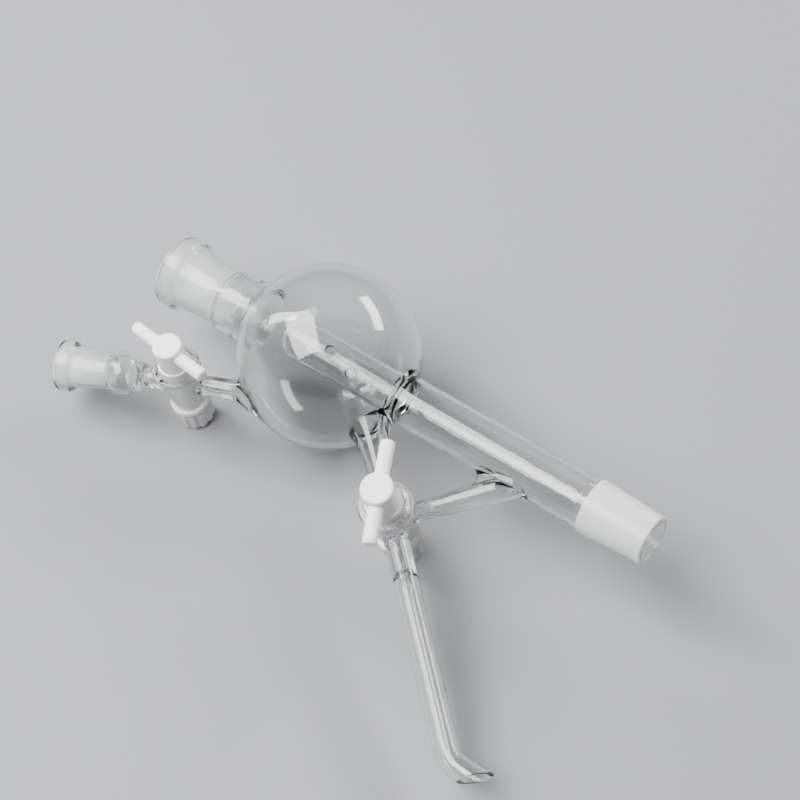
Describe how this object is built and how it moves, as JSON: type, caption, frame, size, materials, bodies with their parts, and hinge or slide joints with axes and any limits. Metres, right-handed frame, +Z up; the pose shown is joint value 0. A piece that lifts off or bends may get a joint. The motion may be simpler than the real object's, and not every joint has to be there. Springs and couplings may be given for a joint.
{
  "type": "distillation head",
  "caption": "Borosilicate distillation head with a bulb, vapour tube, ground joints and two PTFE-key stopcocks, lying on its side.",
  "frame": {"origin": "middle of the bounding box's footprint, on the ground the head lies on", "axes": "+X along the main tube's horizontal direction, from the top socket to the lower cone; +Z up; +Y away from the stopcocks"},
  "size_m": [0.2664, 0.1596, 0.0792],
  "materials": {
    "borosilicate_glass": "clear, ground joints frosted",
    "ptfe": "satin white",
    "nut_plastic": "greyish white, translucent",
    "dark_rubber": "matt"
  },
  "bodies": {
    "glass": {"glass_body": "borosilicate_glass"},
    "two_way_key": {"two_way_plug": "ptfe", "two_way_handle": "ptfe", "two_way_washer": "ptfe", "two_way_o_ring": "dark_rubber", "two_way_nut": "nut_plastic"},
    "three_way_key": {"three_way_plug": "ptfe", "three_way_handle": "ptfe", "three_way_washer": "ptfe", "three_way_o_ring": "dark_rubber", "three_way_nut": "nut_plastic"}
  },
  "joints": [
    {"name": "two_way_turn", "type": "hinge", "parent": "glass", "child": "two_way_key", "pos_m": [-0.07871, -0.00343, 0.04077], "axis": [-0.041, -0.1844, 0.982], "continuous": true},
    {"name": "three_way_turn", "type": "hinge", "parent": "glass", "child": "three_way_key", "pos_m": [0.03578, -0.00945, 0.04493], "axis": [-0.0071, -0.2742, 0.9616], "continuous": true}
  ]
}
